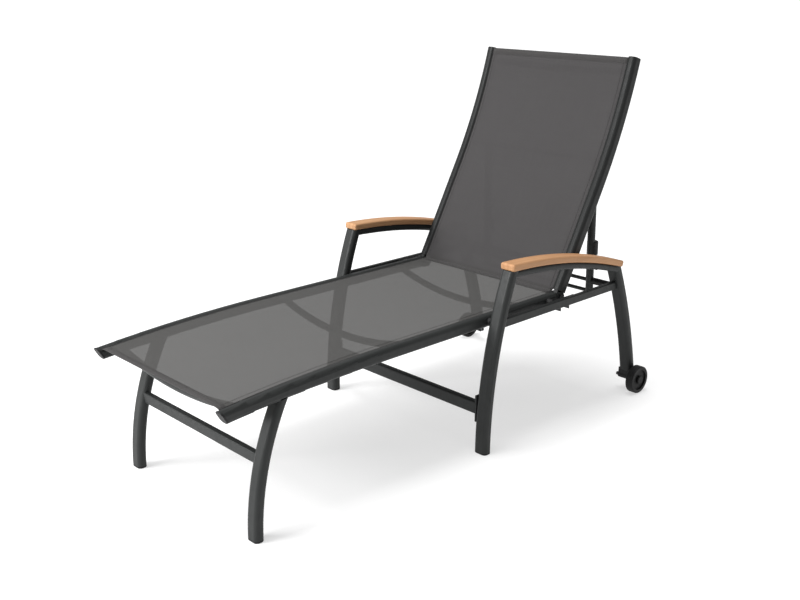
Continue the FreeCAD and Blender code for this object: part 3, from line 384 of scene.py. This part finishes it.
class Sling:
    """A woven sheet held along both rails: its place, and the pieces sewn onto it."""

    def __init__(self, prefix, point, start, end, body):
        self.prefix, self.point, self.start, self.end, self.body = prefix, point, start, end, body

    def lift(self, x, s):
        """Height above the rails' centrelines: level at hems, slack between them, curved down at rails."""
        edge = max(0.0, (abs(x) - SLING_HALF + EDGE_CURVE) / EDGE_CURVE)
        slack = max(0.0, min(1.0, (s - self.start) / SAG_REACH, (self.end - s) / SAG_REACH))
        slack = slack * slack * (3 - 2 * slack)
        return SLING_LIFT - EDGE_DROP * edge ** 2 - SLING_SAG * slack * (1 - (x / SLING_HALF) ** 2)

    def place(self, x, s, rise=0.0):
        """A point on the sling. Its corners are cut back beside the hinge, clear of the inner ears."""
        half = CORNER_HALF if s < CORNER_END else SLING_HALF
        x = max(-half, min(half, x))
        return self.point(x, s, self.lift(x, s) + rise)

    def cloth(self):
        across = steps(-SLING_HALF, SLING_HALF, ACROSS_PITCH)
        along = steps(self.start, self.end, ALONG_PITCH)
        places = [(x, s) for s in along for x in across]
        vertices = [self.place(x, s) for x, s in places]
        faces = grid(len(across), len(along))
        return new_mesh(self.prefix, vertices, faces, SLINGS[self.body], self.body, uvs=places)

    def hem(self, label, edge, inward):
        """A folded hem: a flat double layer with a rounded fold along the sling's end."""
        across = steps(-SLING_HALF, SLING_HALF, ACROSS_PITCH)
        half = HEM_THICKNESS / 2
        outline = [(HEM_FOLD_DEPTH + half - half * math.sin(a), half * math.cos(a))
                   for a in (math.pi * i / 8 for i in range(9))]
        depths = [HEM_WIDTH, HEM_WIDTH - HEM_EDGE, HEM_FLAT_START]
        loop = [(depth, half) for depth in depths] + outline + [(depth, -half) for depth in reversed(depths)]
        vertices, uvs = [], []
        for x in across:
            for depth, rise in loop:
                s = edge + inward * (depth - HEM_SHIFT)
                vertices.append(self.place(x, s, rise * HEM_PLUMPNESS))
                uvs.append((x, s))
        faces = grid(len(loop), len(across), closed=True)
        faces += [tuple(range(len(loop))), tuple(range(len(vertices) - len(loop), len(vertices)))]
        return new_mesh(f"{self.prefix}_hem_{label}", vertices, faces, SLING_DOUBLE, self.body, uvs=uvs)

    def cord(self, label, side):
        """The corded edge of the sling, lying in the rail's groove."""
        along = steps(max(self.start, CORNER_END) + CORD_END_GAP, self.end - CORD_END_GAP, ALONG_PITCH)
        vertices, uvs = [], []
        for s in along:
            for i in range(CORD_SIDES):
                angle = 2 * math.pi * i / CORD_SIDES
                x = side * (SLING_HALF - CORD_INSET) + CORD_RADIUS * math.cos(angle)
                rise = self.lift(SLING_HALF, s) + CORD_RADIUS * math.sin(angle) * CORD_FLATTENING
                vertices.append(self.point(x, s, rise))
                uvs.append((angle * CORD_RADIUS, s))
        faces = grid(CORD_SIDES, len(along), closed=True)
        faces += [tuple(range(CORD_SIDES)), tuple(range(len(vertices) - CORD_SIDES, len(vertices)))]
        return new_mesh(f"{self.prefix}_cord_{label}", vertices, faces, SLING_EDGE, self.body, uvs=uvs)

    def stitches(self, hems):
        """Rows of stitches along both corded edges and across each hem."""
        vertices, faces = [], []

        def add(x, s, rise, along_rail):
            here = self.place(x, s, rise)
            ahead = self.place(x, s + SURFACE_STEP, rise) - here
            above = self.place(x, s, rise + SURFACE_STEP) - here
            along = ahead.normalized() if along_rail else Vector((1, 0, 0))
            across = Vector((1, 0, 0)) if along_rail else ahead.normalized()
            add_stitch(vertices, faces, here, along, across, above.normalized())

        for side in (-1, 1):
            for s in steps(self.start + STITCH_END_GAP, self.end - STITCH_END_GAP, STITCH_PITCH):
                add(side * (SLING_HALF - STITCH_INSET), s, STITCH_RISE, True)
        for edge, inward in hems:
            for row in HEM_STITCH_ROWS:
                for x in steps(HEM_STITCH_MARGIN - SLING_HALF, SLING_HALF - HEM_STITCH_MARGIN, STITCH_PITCH):
                    add(x, edge + inward * (HEM_WIDTH - row), HEM_THICKNESS * HEM_STITCH_RISE, False)
        return new_mesh(f"{self.prefix}_stitches", vertices, faces, STITCH, self.body)


def add_stitch(vertices, faces, centre, along, across, up):
    """One stitch: a short rounded bar that dips into the cloth at both ends."""
    base = len(vertices)
    profile = [(-0.5, 0.35, -0.6), (-0.25, 1.0, 0.7), (0.25, 1.0, 0.7), (0.5, 0.35, -0.6)]
    for position, girth, rise in profile:
        middle = centre + along * (position * STITCH_LENGTH) + up * (STITCH_HEIGHT * rise)
        for turn in range(4):
            angle = math.pi / 4 + turn * math.pi / 2
            sideways = across * (STITCH_WIDTH * girth * math.cos(angle))
            offset = sideways + up * (STITCH_HEIGHT * girth * math.sin(angle))
            vertices.append(middle + offset)
    faces += [tuple(base + v for v in quad) for quad in grid(4, 4, closed=True)]
    faces += [(base, base + 1, base + 2, base + 3), (base + 12, base + 13, base + 14, base + 15)]


def dress(sling, start_label, end_label, covers):
    """A whole sling with its corded edges, hems and stitching, in place of the solid it covers."""
    hems = [(start_label, sling.start, 1), (end_label, sling.end, -1)]
    cloth = sling.cloth()
    trims = [sling.cord("left", -1), sling.cord("right", 1)]
    trims += [sling.hem(*hem) for hem in hems]
    trims.append(sling.stitches([(edge, inward) for _, edge, inward in hems]))
    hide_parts(covers)


dress(Sling("seat_sling_cloth", seat_point, SEAT_SLING_START, SEAT_SLING_END, "base"), "rear", "foot",
      "seat_sling")
dress(Sling("back_sling_cloth", back_point, BACK_SLING_START, BACK_SLING_END, "backrest"), "low", "head",
      "back_sling")


# ---------------------------------------------------------------- floor, light and camera


def make_floor():
    """One flat square, large enough that its far edge lies above the photo camera's view."""
    half = 250.0
    corners = [(-half, -half, 0), (half, -half, 0), (half, half, 0), (-half, half, 0)]
    mesh = bpy.data.meshes.new("floor")
    mesh.from_pydata(corners, [], [(0, 1, 2, 3)])
    mesh.materials.append(floor_material())
    floor = bpy.data.objects.new("floor", mesh)
    bpy.context.scene.collection.objects.link(floor)


def add_area_light(name, place, target, width, depth, power):
    light = bpy.data.lights.new(name, "AREA")
    light.shape = "RECTANGLE"
    light.size = width
    light.size_y = depth
    light.energy = power
    lamp = bpy.data.objects.new(name, light)
    lamp.location = place
    lamp.rotation_euler = (Vector(target) - Vector(place)).to_track_quat("-Z", "Y").to_euler()
    bpy.context.scene.collection.objects.link(lamp)


def add_sky_panel(name, toward, strength, spread):
    """A very wide, distant overhead light, even over the whole floor."""
    light = bpy.data.lights.new(name, "SUN")
    light.energy = strength
    light.angle = math.radians(spread)
    lamp = bpy.data.objects.new(name, light)
    lamp.rotation_euler = Vector(toward).to_track_quat("-Z", "Y").to_euler()
    bpy.context.scene.collection.objects.link(lamp)


def make_world(strength):
    world = bpy.data.worlds.new("studio")
    world.use_nodes = True
    background = world.node_tree.nodes["Background"]
    background.inputs["Color"].default_value = (1, 1, 1, 1)
    background.inputs["Strength"].default_value = strength
    bpy.context.scene.world = world


def make_camera():
    data = bpy.data.cameras.new("camera")
    data.sensor_width = 36.0
    data.lens = 46.6
    camera = bpy.data.objects.new("camera", data)
    camera.location = (2.117, -1.970, 1.318)
    camera.rotation_euler = (math.radians(90 - 17.715), 0, math.radians(46.43))
    bpy.context.scene.collection.objects.link(camera)
    bpy.context.scene.camera = camera


make_floor()
make_world(0.45)
add_sky_panel("overhead", (0.14, 0.10, -1.0), 2.3, 28)
add_area_light("foot_end", (-1.6, -4.2, 2.4), (0, 0, 0.4), 2.6, 2.0, 300)
make_camera()
bpy.context.scene.view_settings.view_transform = "Standard"
